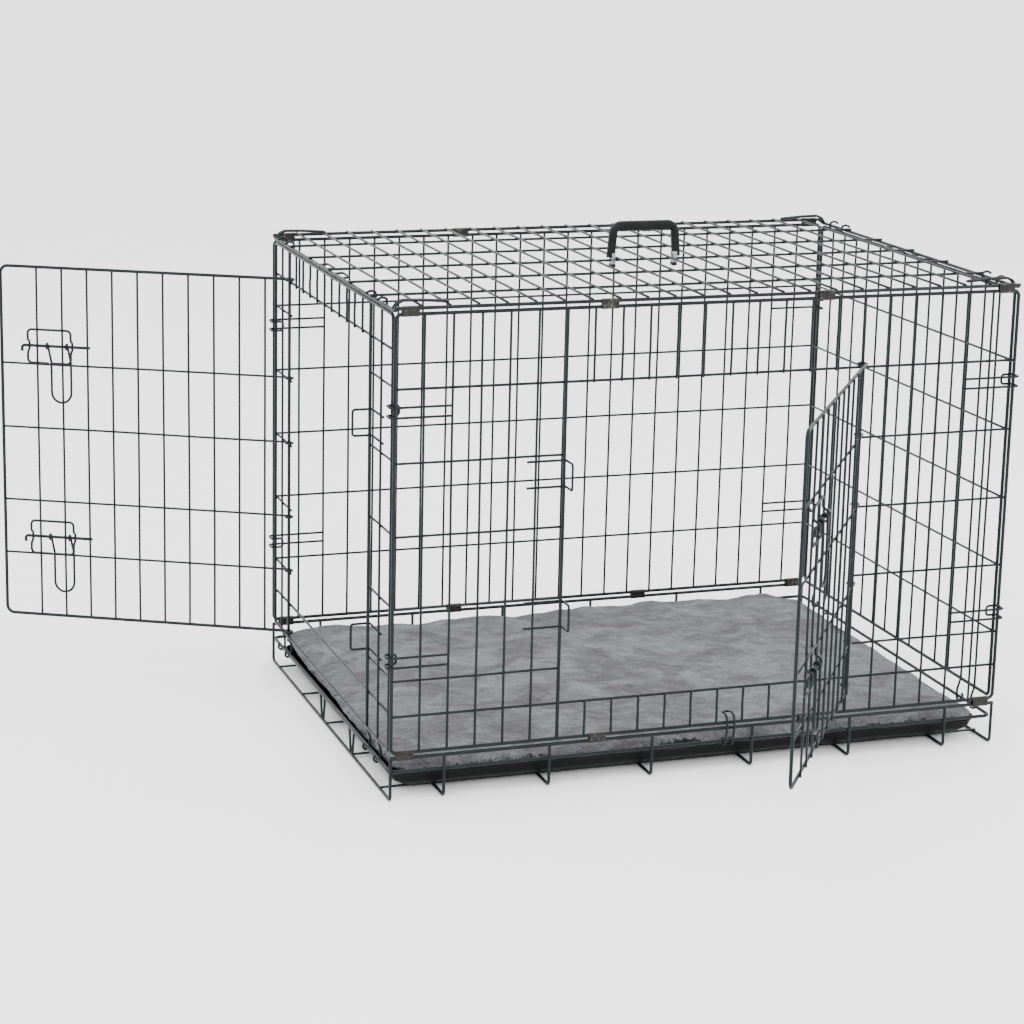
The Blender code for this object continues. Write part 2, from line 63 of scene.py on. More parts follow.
MID_RAIL_Z = 0.047
END_TOP_Z = PANEL_TOP - 0.002
TOP_END_RAIL_Z = TOP_Z - 0.0045
LONG_WIRE_Z = TOP_Z - 0.0005
SHIFT_X = HALF_LENGTH / 6

LEFT_DOOR_ANGLE = math.radians(118)
FRONT_DOOR_ANGLE = math.radians(54.5)
HINGE_POST_OFFSET = 0.006
FREE_EDGE_GAPS = 11.4
CATCH_GAPS = 11
DOOR_GAPS = 10
DOOR_LIFT = 0.006
LEFT_HINGE_Y = END_HALF - 2 * END_PITCH
LEFT_LATCH_Y = LEFT_HINGE_Y - CATCH_GAPS * PITCH
CROSS_SHIFT = 0.006
BOLT_OFFSET = 0.018
CATCH_REACH = 0.027
CATCH_HALF_HEIGHT = 0.021
HAIRPIN_Y = HALF_DEPTH - 0.016
FRONT_POSTS = (6, 17)
END_POSTS = (2, 13)
STRUT_Y = (-0.152, 0.030)

# Radii of the round wires, a little more than half the CAD's square bars
THIN = 0.0020
HEADER = 0.0022
LEG = 0.0026
RAIL = 0.0029
POST = RAIL - 0.0001

WELDED = 2 * THIN - 0.0004
RAIL_END = HALF_LENGTH + 0.0024
FLOOR_WIRE_Z = 0.0058
KNUCKLE = 0.0058
DOOR_KNUCKLE = 0.0063
BOLT_EYE = 0.0044

# The mat's blank, and where its black backing gives way to plush
MAT_HALF = (0.5135, 0.3600)
MAT_TOP_FACE = 0.042
MAT_LOWEST = 0.0115
BACKING_Z = 0.0437

# The mat's right end is pressed down and drawn in, which leaves room for the right end panel to fold
PRESSED_FROM, PRESSED_OVER = 0.440, 0.045
PRESSED_ABOVE, PRESSED_SHARE = 0.040, 0.34
DRAWN_IN_FROM, DRAWN_IN_SHARE = 0.502, 0.58


def level(number):
    return PANEL_BOTTOM + (6 - number) * LEVEL


LEFT_DOOR_HEIGHTS = (level(0.45), level(2) + DOOR_LIFT, level(3) + DOOR_LIFT,
                     level(4.1), level(5) + DOOR_LIFT, level(5.93))
FRONT_DOOR_HEIGHTS = (level(1) + DOOR_LIFT, level(2) + DOOR_LIFT, level(3) + DOOR_LIFT,
                      level(4.1), level(5) + DOOR_LIFT, level(5.6))
LEFT_BOLT_HEIGHTS = {"upper": level(1.685), "lower": level(4.70)}
FRONT_BOLT_HEIGHTS = {"upper": level(2.26), "lower": level(4.225)}


# ---------------------------------------------------------------- mesh helpers

def rounded(points, radius, steps=6, closed=False):
    """The path with each corner turned into an arc."""
    path = [Vector(point) for point in points]
    result = []
    for index, corner in enumerate(path):
        if not closed and index in (0, len(path) - 1):
            result.append(corner)
            continue
        before, after = path[index - 1] - corner, path[(index + 1) % len(path)] - corner
        back, ahead = before.normalized(), after.normalized()
        if back.angle(ahead) > 3.10:
            result.append(corner)
            continue
        half = back.angle(ahead) / 2
        fit = min(radius, 0.49 * min(before.length, after.length) * math.tan(half))
        centre = corner + (back + ahead).normalized() * (fit / math.sin(half))
        start = corner + back * (fit / math.tan(half))
        end = corner + ahead * (fit / math.tan(half))
        for step in range(steps + 1):
            blend = start.lerp(end, step / steps) - centre
            result.append(centre + blend.normalized() * fit)
    return result


def tube(points, radius, bend=0.0, closed=False, sides=10):
    """Rings of a round wire along a path, with rounded ends."""
    path = rounded(points, bend, closed=closed) if bend else [Vector(point) for point in points]
    count = len(path)

    def heading(start, end):
        return (path[end % count] - path[start % count]).normalized()

    incoming = heading(-1, 0) if closed else heading(0, 1)
    helper = Vector((0, 0, 1)) if abs(incoming.z) < 0.8 else Vector((1, 0, 0))
    across = incoming.cross(helper).normalized()
    up = across.cross(incoming)
    offsets = []
    for index in range(sides):
        angle = index * 2 * math.pi / sides
        offsets.append((across * math.cos(angle) + up * math.sin(angle)) * radius)
    rings = []
    if not closed:
        rings.append([path[0] + offset * 0.62 for offset in offsets])
        path[0] = path[0] + incoming * radius * 0.35
    for index in range(count):
        last = index == count - 1
        outgoing = incoming if last and not closed else heading(index, index + 1)
        plane = incoming + outgoing
        ring = [o - incoming * (o.dot(plane) / incoming.dot(plane)) for o in offsets]
        centre = path[index]
        if last and not closed:
            centre = path[index] - incoming * radius * 0.35
        rings.append([centre + o for o in ring])
        offsets = [(o - outgoing * o.dot(outgoing)).normalized() * radius for o in ring]
        incoming = outgoing
    if not closed:
        rings.append([path[-1] + o * 0.62 for o in offsets])
    return loft(rings, closed)


def loft(rings, closed=False):
    size = len(rings[0])
    vertices = [tuple(point) for ring in rings for point in ring]
    faces = []
    for band in range(len(rings) if closed else len(rings) - 1):
        here, there = band * size, (band + 1) % len(rings) * size
        for index in range(size):
            after = (index + 1) % size
            faces.append((here + index, here + after, there + after, there + index))
    if not closed:
        faces.append(tuple(range(size - 1, -1, -1)))
        faces.append(tuple(range((len(rings) - 1) * size, len(rings) * size)))
    return vertices, faces


def wavy(start, end, sway=0.0004, steps=7):
    """A thin wire's path, which isn't quite straight."""
    a, b = Vector(start), Vector(end)
    seed = Vector((random.uniform(0, 90), random.uniform(0, 90), 0))
    points = []
    for step in range(steps + 1):
        share = step / steps
        offset = noise.noise_vector(seed + Vector((0, 0, share * 2.4))) * sway * 2.2
        points.append(a.lerp(b, share) + offset * math.sin(math.pi * share) ** 0.5)
    return points


def piece(name, parts, look, body, replaced, angle=50):
    """One visual piece from its parts, riding on a body in place of a CAD node."""
    mesh = bpy.data.meshes.new(name)
    vertices, faces = [], []
    for part_vertices, part_faces in parts:
        base = len(vertices)
        vertices.extend(part_vertices)
        faces.extend(tuple(base + index for index in face) for face in part_faces)
    mesh.from_pydata(vertices, [], faces)
    clean = bmesh.new()
    clean.from_mesh(mesh)
    bmesh.ops.recalc_face_normals(clean, faces=clean.faces)
    clean.to_mesh(mesh)
    clean.free()
    mesh.shade_smooth()
    mesh.set_sharp_from_angle(angle=math.radians(angle))
    made = bpy.data.objects.new(name, mesh)
    bpy.context.collection.objects.link(made)
    made.data.materials.append(look)
    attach(made, body)
    if replaced:
        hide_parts(replaced)
    return made


# ---------------------------------------------------------------- materials

class Nodes:
    """Short calls for building one material's nodes."""

    def __init__(self, name):
        self.material = bpy.data.materials.new(name)
        self.material.use_nodes = True
        self.tree = self.material.node_tree
        self.shader = self.tree.nodes["Principled BSDF"]
        self.coords = self.tree.nodes.new("ShaderNodeTexCoord").outputs["Object"]

    def set(self, **values):
        for key, value in values.items():
            self.shader.inputs[key.replace("_", " ")].default_value = value

    def link(self, output, name):
        self.tree.links.new(output, self.shader.inputs[name])

    def stretch(self, scale, vector=None):
        node = self.tree.nodes.new("ShaderNodeMapping")
        node.inputs["Scale"].default_value = scale
        self.tree.links.new(vector or self.coords, node.inputs["Vector"])
        return node.outputs["Vector"]

    def brushed(self, scale, degrees):
        """Coordinates turned on the mat's face and then stretched, for pile combed one way."""
        node = self.tree.nodes.new("ShaderNodeMapping")
        node.inputs["Rotation"].default_value = (0, 0, math.radians(degrees))
        self.tree.links.new(self.coords, node.inputs["Vector"])
        return self.stretch(scale, node.outputs["Vector"])

    def noise(self, scale, detail=3.0, rough=0.55, vector=None, distortion=0.0):
        node = self.tree.nodes.new("ShaderNodeTexNoise")
        node.inputs["Scale"].default_value = scale
        node.inputs["Detail"].default_value = detail
        node.inputs["Roughness"].default_value = rough
        node.inputs["Distortion"].default_value = distortion
        self.tree.links.new(vector or self.coords, node.inputs["Vector"])
        return node.outputs["Fac"]

    def ramp(self, value, stops):
        node = self.tree.nodes.new("ShaderNodeValToRGB")
        ramp = node.color_ramp
        while len(ramp.elements) < len(stops):
            ramp.elements.new(0.5)
        for element, (place, colour) in zip(ramp.elements, stops):
            element.position = place
            element.color = (*colour, 1.0)
        self.tree.links.new(value, node.inputs["Fac"])
        return node.outputs["Color"]

    def span(self, value, low, high, start=0.3, end=0.7):
        node = self.tree.nodes.new("ShaderNodeMapRange")
        node.inputs["From Min"].default_value = start
        node.inputs["From Max"].default_value = end
        node.inputs["To Min"].default_value = low
        node.inputs["To Max"].default_value = high
        self.tree.links.new(value, node.inputs["Value"])
        return node.outputs["Result"]

    def maths(self, operation, first, second):
        node = self.tree.nodes.new("ShaderNodeMath")
        node.operation = operation
        for index, value in enumerate((first, second)):
            if isinstance(value, (int, float)):
                node.inputs[index].default_value = value
            else:
                self.tree.links.new(value, node.inputs[index])
        return node.outputs["Value"]

    def mix(self, share, first, second, blend="MIX"):
        node = self.tree.nodes.new("ShaderNodeMix")
        node.data_type = "RGBA"
        node.blend_type = blend
        if isinstance(share, (int, float)):
            node.inputs["Factor"].default_value = share
        else:
            self.tree.links.new(share, node.inputs["Factor"])
        for socket, value in ((node.inputs["A"], first), (node.inputs["B"], second)):
            if isinstance(value, tuple):
                socket.default_value = (*value, 1.0)
            else:
                self.tree.links.new(value, socket)
        return node.outputs["Result"]

    def bump(self, height, strength, distance, normal=None):
        node = self.tree.nodes.new("ShaderNodeBump")
        node.inputs["Strength"].default_value = strength
        node.inputs["Distance"].default_value = distance
        self.tree.links.new(height, node.inputs["Height"])
        if normal:
            self.tree.links.new(normal, node.inputs["Normal"])
        return node.outputs["Normal"]


def enamel_material():
    """Dark green-grey enamel over wire, a little uneven, with thin lighter flecks that are painted highlight
    glints.
    """
    made = Nodes("wire_enamel")
    body = made.ramp(made.noise(38, 4), ((0.30, (0.0022, 0.0044, 0.0050)), (0.70, (0.0060, 0.0100, 0.0112))))
    # Painted highlight: sparse lighter flecks mixed into the enamel colour stand in for glints of light on
    # the wires.
    painted_glints = made.ramp(made.noise(210, 5, 0.7), ((0.66, (0, 0, 0)), (0.74, (1, 1, 1))))
    made.link(made.mix(made.maths("MULTIPLY", painted_glints, 0.35), body, (0.020, 0.028, 0.029)), "Base Color")
    made.link(made.span(made.noise(90, 3), 0.30, 0.46), "Roughness")
    made.set(Specular_IOR_Level=0.16)
    fine = made.bump(made.noise(900, 2), 0.18, 0.0003)
    made.link(made.bump(made.noise(120, 2), 0.25, 0.0004, fine), "Normal")
    return made.material


def crimp_material():
    """Oiled dark sheet steel, brownish, with brighter flecks that are painted highlight glints."""
    made = Nodes("crimp_sheet")
    # Painted highlight: the brightest stop of this ramp gives pale flecks that stand in for glints on the
    # clips.
    body = made.ramp(made.noise(160, 4), ((0.32, (0.004, 0.004, 0.0035)), (0.56, (0.013, 0.012, 0.010)),
                                          (0.76, (0.080, 0.075, 0.065))))
    made.link(body, "Base Color")
    made.link(made.span(made.noise(300, 3), 0.26, 0.50), "Roughness")
    made.set(Metallic=0.3, Specular_IOR_Level=0.30)
    made.link(made.bump(made.noise(260, 3), 0.4, 0.0004), "Normal")
    return made.material


def bright_material():
    """Bare zinc-plated strap steel with light drawing lines."""
    made = Nodes("strap_zinc")
    lines = made.noise(60, 4, 0.6, made.stretch((1, 14, 1)))
    made.link(made.ramp(lines, ((0.3, (0.13, 0.135, 0.14)), (0.7, (0.30, 0.31, 0.32)))), "Base Color")
    made.link(made.span(lines, 0.22, 0.38), "Roughness")
    made.set(Metallic=1.0)
    made.link(made.bump(lines, 0.2, 0.0002), "Normal")
    return made.material


def tray_material():
    """Black moulded plastic with a fine grain and pale dust scuffs."""
    made = Nodes("tray_black")
    grain = made.noise(1300, 2)
    scuffs = made.noise(14, 6, 0.72, made.stretch((1, 1, 3)))
    dusty = made.ramp(scuffs, ((0.45, (0.0012, 0.0015, 0.0016)), (0.80, (0.0045, 0.0052, 0.0054))))
    made.link(dusty, "Base Color")
    made.link(made.span(scuffs, 0.36, 0.55), "Roughness")
    made.set(Specular_IOR_Level=0.10)
    made.link(made.bump(grain, 0.25, 0.0003), "Normal")
    return made.material


def grip_material():
    """Black moulded grip plastic, finely pebbled."""
    made = Nodes("grip_black")
    pebble = made.noise(950, 3, 0.6)
    body = made.ramp(made.noise(45, 4), ((0.3, (0.0012, 0.0019, 0.0020)), (0.8, (0.0038, 0.0050, 0.0052))))
    made.link(body, "Base Color")
    made.link(made.span(pebble, 0.34, 0.50), "Roughness")
    made.set(Specular_IOR_Level=0.16)
    made.link(made.bump(pebble, 0.35, 0.0004), "Normal")
    return made.material


def plush_material():
    """Short-pile grey plush, brushed in patches, over a black backing that shows at the lower edge."""
    made = Nodes("mat_plush")
    patches = made.noise(9.0, 4, 0.62, made.stretch((1, 1.5, 1)), 1.1)
    streaks = made.noise(52, 5, 0.70, made.brushed((0.75, 1.5, 1), 32), 0.8)
    tufts = made.noise(300, 4, 0.75, made.stretch((0.8, 1.3, 1)))
    ground = made.ramp(patches, ((0.38, (0.070, 0.065, 0.069)), (0.50, (0.098, 0.099, 0.104)),
                                 (0.62, (0.130, 0.142, 0.148))))
    streaky = made.ramp(streaks, ((0.36, (0.26, 0.26, 0.27)), (0.64, (0.73, 0.74, 0.75))))
    combed = made.mix(0.55, ground, streaky, "OVERLAY")
    tufted = made.ramp(tufts, ((0.32, (0.23, 0.23, 0.24)), (0.68, (0.79, 0.80, 0.81))))
    pile = made.mix(0.55, combed, tufted, "OVERLAY")
    split = made.tree.nodes.new("ShaderNodeSeparateXYZ")
    made.tree.links.new(made.coords, split.inputs["Vector"])
    ragged = made.maths("ADD", made.span(made.noise(110, 5, 0.8), -0.0050, 0.0050),
                        made.span(made.noise(11, 2), -0.0062, 0.0062))
    edge = made.maths("ADD", split.outputs["Z"], ragged)
    backing = made.span(edge, 1.0, 0.0, BACKING_Z - 0.0006, BACKING_Z + 0.0006)
    made.link(made.mix(backing, pile, (0.0045, 0.005, 0.005)), "Base Color")
    made.set(Roughness=0.95, Sheen_Weight=0.12, Sheen_Roughness=0.5, Specular_IOR_Level=0.08)
    made.shader.inputs["Sheen Tint"].default_value = (0.88, 0.90, 0.92, 1.0)
    deep = made.bump(tufts, 1.0, 0.0034)
    made.link(made.bump(streaks, 0.7, 0.0070, deep), "Normal")
    return made.material


ENAMEL = enamel_material()
CRIMP = crimp_material()
ZINC = bright_material()
TRAY_BLACK = tray_material()
GRIP_BLACK = grip_material()
PLUSH = plush_material()


# ---------------------------------------------------------------- wire panels

def front_place(u, z, inward):
    return Vector((u - SHIFT_X, -HALF_DEPTH + inward, z))


def back_place(u, z, inward):
    return Vector((u - SHIFT_X, HALF_DEPTH - inward, z))


def left_place(u, z, inward):
    return Vector((-HALF_LENGTH + inward - SHIFT_X, u, z))


def right_place(u, z, inward):
    return Vector((HALF_LENGTH - inward - SHIFT_X, u, z))


def upright(place, u, top, bottom, radius=THIN):
    return tube(wavy(place(u, top, 0), place(u, bottom, 0)), radius)


def crosswire(place, start, end, z, radius=THIN, depth=WELDED):
    return tube(wavy(place(start, z, depth), place(end, z, depth), steps=12), radius)


def panel_frame(place, half, top, bottom):
    corners = [place(-half, bottom, 0), place(half, bottom, 0), place(half, top, 0), place(-half, top, 0)]
    return tube(corners, RAIL, 0.009, closed=True)


def front_panel():
    wires = [panel_frame(front_place, HALF_LENGTH, PANEL_TOP, PANEL_BOTTOM)]
    left, right = (-HALF_LENGTH + post * PITCH for post in FRONT_POSTS)
    for number in (1, 5.5):
        wires.append(crosswire(front_place, -HALF_LENGTH, HALF_LENGTH, level(number), HEADER))
    for number in (2, 3, 4, 5):
        wires.append(crosswire(front_place, -HALF_LENGTH, left + 0.003, level(number)))
        wires.append(crosswire(front_place, right - 0.003, HALF_LENGTH, level(number)))
    for index in range(1, FRONT_PITCHES):
        u = -HALF_LENGTH + index * PITCH
        if index in FRONT_POSTS:
            wires.append(upright(front_place, u, PANEL_TOP, PANEL_BOTTOM, POST))
        elif index < FRONT_POSTS[0] or index > FRONT_POSTS[1]:
            wires.append(upright(front_place, u, PANEL_TOP, PANEL_BOTTOM))
        else:
            wires.append(upright(front_place, u, PANEL_TOP, level(1) - 0.003))
            wires.append(upright(front_place, u, level(5.5) + 0.003, PANEL_BOTTOM))
    piece("front_wires", wires, ENAMEL, "crate", "front_panel")


def back_panel():
    wires = [panel_frame(back_place, HALF_LENGTH, PANEL_TOP, PANEL_BOTTOM)]
    for index in range(1, FRONT_PITCHES):
        wires.append(upright(back_place, -HALF_LENGTH + index * PITCH, PANEL_TOP, PANEL_BOTTOM))
    for number in range(1, 6):
        wires.append(crosswire(back_place, -HALF_LENGTH, HALF_LENGTH, level(number)))
    piece("back_wires", wires, ENAMEL, "crate", "back_panel")


def hairpin(side, y):
    """A doubled wire that arches up from an end rail and runs in over the cross wires."""
    leg = [(0.0, TOP_END_RAIL_Z + 0.0020), (0.006, TOP_Z + 0.0058), (0.015, TOP_Z + 0.0098),
           (0.045, TOP_Z + 0.0092), (0.087, TOP_Z + 0.0062)]
    path = [(side * (HALF_LENGTH - w) - SHIFT_X, y - 0.0036, z) for w, z in leg]
    path += [(side * (HALF_LENGTH - w) - SHIFT_X, y + 0.0036, z) for w, z in reversed(leg)]
    return tube(path, THIN, 0.0032)


def long_rail(y, z):
    return tube([(-RAIL_END - SHIFT_X, y, z), (RAIL_END - SHIFT_X, y, z)], RAIL)


def top_panel():
    wires = []
    for side in (-1, 1):
        wires.append(long_rail(side * HALF_DEPTH, TOP_Z))
        x = side * HALF_LENGTH - SHIFT_X
        end_rail = [(x, -HALF_DEPTH, TOP_END_RAIL_Z + 0.002), (x, -HALF_DEPTH + 0.012, TOP_END_RAIL_Z),
                    (x, HALF_DEPTH - 0.012, TOP_END_RAIL_Z), (x, HALF_DEPTH, TOP_END_RAIL_Z + 0.002)]
        wires.append(tube(end_rail, POST, 0.01))
    cross_z = TOP_Z + 0.0033
    cross_end = HALF_DEPTH + 0.0005
    for index in range(1, FRONT_PITCHES):
        x = -HALF_LENGTH + index * PITCH - CROSS_SHIFT - SHIFT_X
        wires.append(tube(wavy((x, -cross_end, cross_z), (x, cross_end, cross_z), 0.0005, 10), THIN))
    reach = HALF_LENGTH + 0.0042
    for index in range(-2, 3):
        y = index * HALF_DEPTH / 3
        start, end = (-reach - SHIFT_X, y, LONG_WIRE_Z), (reach - SHIFT_X, y, LONG_WIRE_Z)
        wires.append(tube(wavy(start, end, 0.0004, 14), HEADER))
    for side in (-1, 1):
        for y in (-HAIRPIN_Y, HAIRPIN_Y):
            wires.append(hairpin(side, y))
    piece("top_wires", wires, ENAMEL, "crate", "top_panel")


def base_basket():
    wires = [long_rail(side * HALF_DEPTH, BASE_RAIL_Z) for side in (-1, 1)]
    reach = HALF_DEPTH - 0.0043
    ring = [(-HALF_LENGTH - SHIFT_X, -reach, MID_RAIL_Z), (HALF_LENGTH - SHIFT_X, -reach, MID_RAIL_Z),
            (HALF_LENGTH - SHIFT_X, reach, MID_RAIL_Z), (-HALF_LENGTH - SHIFT_X, reach, MID_RAIL_Z)]
    wires.append(tube(ring, RAIL, 0.012, closed=True))
    stations = [-HALF_LENGTH, HALF_LENGTH] + [-HALF_LENGTH + (k + 0.5) * HALF_LENGTH / 3 for k in range(6)]
    for station in stations:
        x = station - SHIFT_X
        run = [(x, -HALF_DEPTH, BASE_RAIL_Z), (x, -HALF_DEPTH, LEG),
               (x, HALF_DEPTH, LEG), (x, HALF_DEPTH, BASE_RAIL_Z)]
        wires.append(tube(run, LEG, 0.007))
    end = HALF_LENGTH + 0.0022
    for share in (-0.86, -0.43, 0, 0.43, 0.86):
        y = share * HALF_DEPTH
        wires.append(tube([(-end - SHIFT_X, y, FLOOR_WIRE_Z), (end - SHIFT_X, y, FLOOR_WIRE_Z)], THIN))
    x = -HALF_LENGTH - SHIFT_X
    for y in STRUT_Y:
        vee = [(x, y - 0.014, MID_RAIL_Z), (x, y - 0.005, 0.0030),
               (x, y + 0.005, 0.0030), (x, y + 0.014, MID_RAIL_Z)]
        wires.append(tube(vee, THIN, 0.003))
    piece("base_wires", wires, ENAMEL, "crate", "base_basket")


def end_details(place, stations):
    """Hooks over the top's end rail, finger tabs, and loops round the base's end rail."""
    made = []
    top = TOP_END_RAIL_Z + 0.0082
    for index in (1, 2, END_PITCHES - 2, END_PITCHES - 1):
        u = stations[index]
        hook = [(0.0005, END_TOP_Z - 0.001), (0.0078, END_TOP_Z + 0.002), (0.0072, top - 0.0005),
                (-0.0010, top + 0.0012), (-0.0072, top - 0.0015), (-0.0082, TOP_END_RAIL_Z + 0.0046)]
        made.append(tube([place(u, z, w) for w, z in hook], THIN, 0.0035))
        curl = [(w, MID_RAIL_Z + h) for w, h in ring_points(KNUCKLE, 0, -240, 20)]
        tail = [(0.0, PANEL_BOTTOM), (KNUCKLE, MID_RAIL_Z + 0.014)] + curl
        made.append(tube([place(u, z, w) for w, z in tail], THIN))
    for index in (6, 8):
        near, far = stations[index], stations[index + 1]
        tab = [place(near, END_TOP_Z, 0.001), place(near, END_TOP_Z + 0.005, 0.005),
               place(near, END_TOP_Z + 0.006, 0.018), place(far, END_TOP_Z + 0.006, 0.018),
               place(far, END_TOP_Z + 0.005, 0.005), place(far, END_TOP_Z, 0.001)]
        made.append(tube(tab, THIN, 0.004))
    return made


def end_panels():
    stations = [END_HALF - index * END_PITCH for index in range(END_PITCHES + 1)]
    wires = [panel_frame(right_place, END_HALF, END_TOP_Z, PANEL_BOTTOM)]
    wires += end_details(right_place, stations)
    for u in stations[1:-1]:
        wires.append(upright(right_place, u, END_TOP_Z, PANEL_BOTTOM))
    for number in range(1, 6):
        wires.append(crosswire(right_place, -END_HALF, END_HALF, level(number)))
    piece("right_end_wires", wires, ENAMEL, "right_end", "right_end_panel")

    stations = [END_HALF, (END_HALF + LEFT_HINGE_Y) / 2]
    stations += [LEFT_HINGE_Y - index * PITCH for index in range(CATCH_GAPS + 1)]
    stations += [(LEFT_LATCH_Y - END_HALF) / 2, -END_HALF]
    wires = [panel_frame(left_place, END_HALF, END_TOP_Z, PANEL_BOTTOM)]
    wires += end_details(left_place, stations)
    for number in (0.5, 5.5):
        wires.append(crosswire(left_place, -END_HALF, END_HALF, level(number), HEADER))
    for index, u in enumerate(stations[1:-1], 1):
        if index in END_POSTS:
            wires.append(upright(left_place, u, END_TOP_Z, PANEL_BOTTOM, POST))
        elif index < END_POSTS[0] or index > END_POSTS[1]:
            wires.append(upright(left_place, u, END_TOP_Z, PANEL_BOTTOM))
        else:
            wires.append(upright(left_place, u, END_TOP_Z, level(0.5) - 0.003))
    for number in range(1, 6):
        wires.append(crosswire(left_place, END_HALF, LEFT_HINGE_Y - 0.003, level(number)))
        wires.append(crosswire(left_place, LEFT_LATCH_Y + 0.003, -END_HALF, level(number)))
    piece("left_end_wires", wires, ENAMEL, "left_end", "left_end_panel")


# ---------------------------------------------------------------- doors, bolts and catches

def door_place(hinge, angle_along):
    """Points on a door: s from hinge to free edge, z up, n off its face. Side 1 is the face left of s."""
    along = Vector((math.cos(angle_along), math.sin(angle_along), 0))

    def place(s, z, n, side):
        normal = Vector((-along.y, along.x, 0)) * side
        return Vector((hinge[0], hinge[1], z)) + along * s + normal * n

    return place


def ring_points(radius, start, end, step):
    count = int(abs(end - start) / step)
    return [(radius * math.cos(math.radians(start + (end - start) * k / count)),
             radius * math.sin(math.radians(start + (end - start) * k / count))) for k in range(count + 1)]


def door(name, node, body, place, heights):
    ring = ring_points(DOOR_KNUCKLE, 335, 100, 22)
    free = FREE_EDGE_GAPS * PITCH

    def curl(z):
        return [place(s, z, n) for s, n in ring]

    top, bottom = heights[0], heights[-1]
    corners = [curl(top)[-1], place(free, top, HINGE_POST_OFFSET), place(free, bottom, HINGE_POST_OFFSET),
               curl(bottom)[-1]]
    frame_path = curl(top)[:-1] + rounded(corners, 0.013) + list(reversed(curl(bottom)[:-1]))
    wires = [tube(frame_path, RAIL)]
    for z in heights[1:-1]:
        straight = wavy(place(0.001, z, DOOR_KNUCKLE), place(free, z, HINGE_POST_OFFSET), steps=9)
        wires.append(tube(curl(z)[:-1] + straight, THIN))
    for index in range(1, DOOR_GAPS + 1):
        s = index * PITCH
        depth = HINGE_POST_OFFSET + WELDED
        wires.append(tube(wavy(place(s, top + 0.0022, depth), place(s, bottom - 0.0022, depth)), THIN))
    piece(name, wires, ENAMEL, body, node)


def bolt(prefix, door_body, place, z):
    catch = CATCH_GAPS * PITCH
    near, far = catch - 0.106, catch - 0.027
    depth = HINGE_POST_OFFSET + WELDED + 2 * THIN - 0.0003
    out = BOLT_OFFSET + 0.0046
    middle = (near + far) / 2
    leg = [(-0.030, depth), (-0.0105, depth), (-0.0075, out),
           (0.0075, out), (0.0105, depth), (0.030, depth)]
    ring = [(middle - 0.001, -0.030, depth)] + [(near, h, n) for h, n in leg]
    ring += [(far, h, n) for h, n in reversed(leg)] + [(middle + 0.001, -0.030, depth)]
    path = rounded([place(s, z + h, n) for s, h, n in ring], 0.0075)
    piece(f"{prefix}_keeper_wire", [tube(path, HEADER)], ENAMEL, door_body,
          f"{prefix}_bolt_keeper")

    rod = [place(catch - 0.140, z, BOLT_OFFSET), place(catch - 0.015, z, BOLT_OFFSET),
           place(catch - 0.0148, z - 0.011, BOLT_OFFSET)]
    round_rod = tube(rod, 0.0027, 0.0045, sides=14)
    piece(f"{prefix}_rod_round", [round_rod], ENAMEL, f"{prefix}_bolt", f"{prefix}_bolt_rod")

    first, second = catch - 0.061, catch - 0.097
    lean = 0.006
    low = BOLT_OFFSET + BOLT_EYE
    curl = [(n + BOLT_OFFSET, z + h) for n, h in ring_points(BOLT_EYE, -90, -360, 22)]
    legs = []
    for s in (first, second):
        legs.append([place(s, height, n) for n, height in curl]
                    + [place(s - lean, z - 0.030, low)])
    half = (first - second) / 2
    bottom = []
    for step in range(15):
        angle = math.pi * step / 14
        bottom.append(place((first + second) / 2 - lean + half * math.cos(angle),
                            z - 0.0835 - half * math.sin(angle) * 1.05, low))
    path = legs[0] + bottom + list(reversed(legs[1]))
    piece(f"{prefix}_loop_wire", [tube(path, HEADER)], ENAMEL, f"{prefix}_bolt_pull",
          f"{prefix}_bolt_loop")


def door_catch(node, place, post, z, body):
    inside = 0.0045
    tail = post - 1.3 * PITCH
    beside = post + inside
    high, low = z + CATCH_HALF_HEIGHT, z - CATCH_HALF_HEIGHT
    path = [place(tail, high, inside), place(beside, high, inside), place(beside, high, -CATCH_REACH),
            place(beside, low, -CATCH_REACH), place(beside, low, inside), place(tail, low, inside)]
    piece(node + "_wire", [tube(path, THIN, 0.004)], ENAMEL, body, node)


def side_catch(node, place, side, z):
    outside = -0.0042
    inside = HALF_DEPTH - END_HALF + 0.005
    tail = side * (HALF_LENGTH - 2 * PITCH)
    corner = side * (HALF_LENGTH + 0.008)
    back = side * (HALF_LENGTH - 0.012)
    half = 0.008
    leg = [(tail, outside), (corner, outside), (corner, inside), (back, inside)]
    path = [place(u, z + half, w) for u, w in leg] + [place(u, z - half, w) for u, w in reversed(leg)]
    piece(node + "_wire", [tube(path, THIN, 0.005)], ENAMEL, "crate", node)


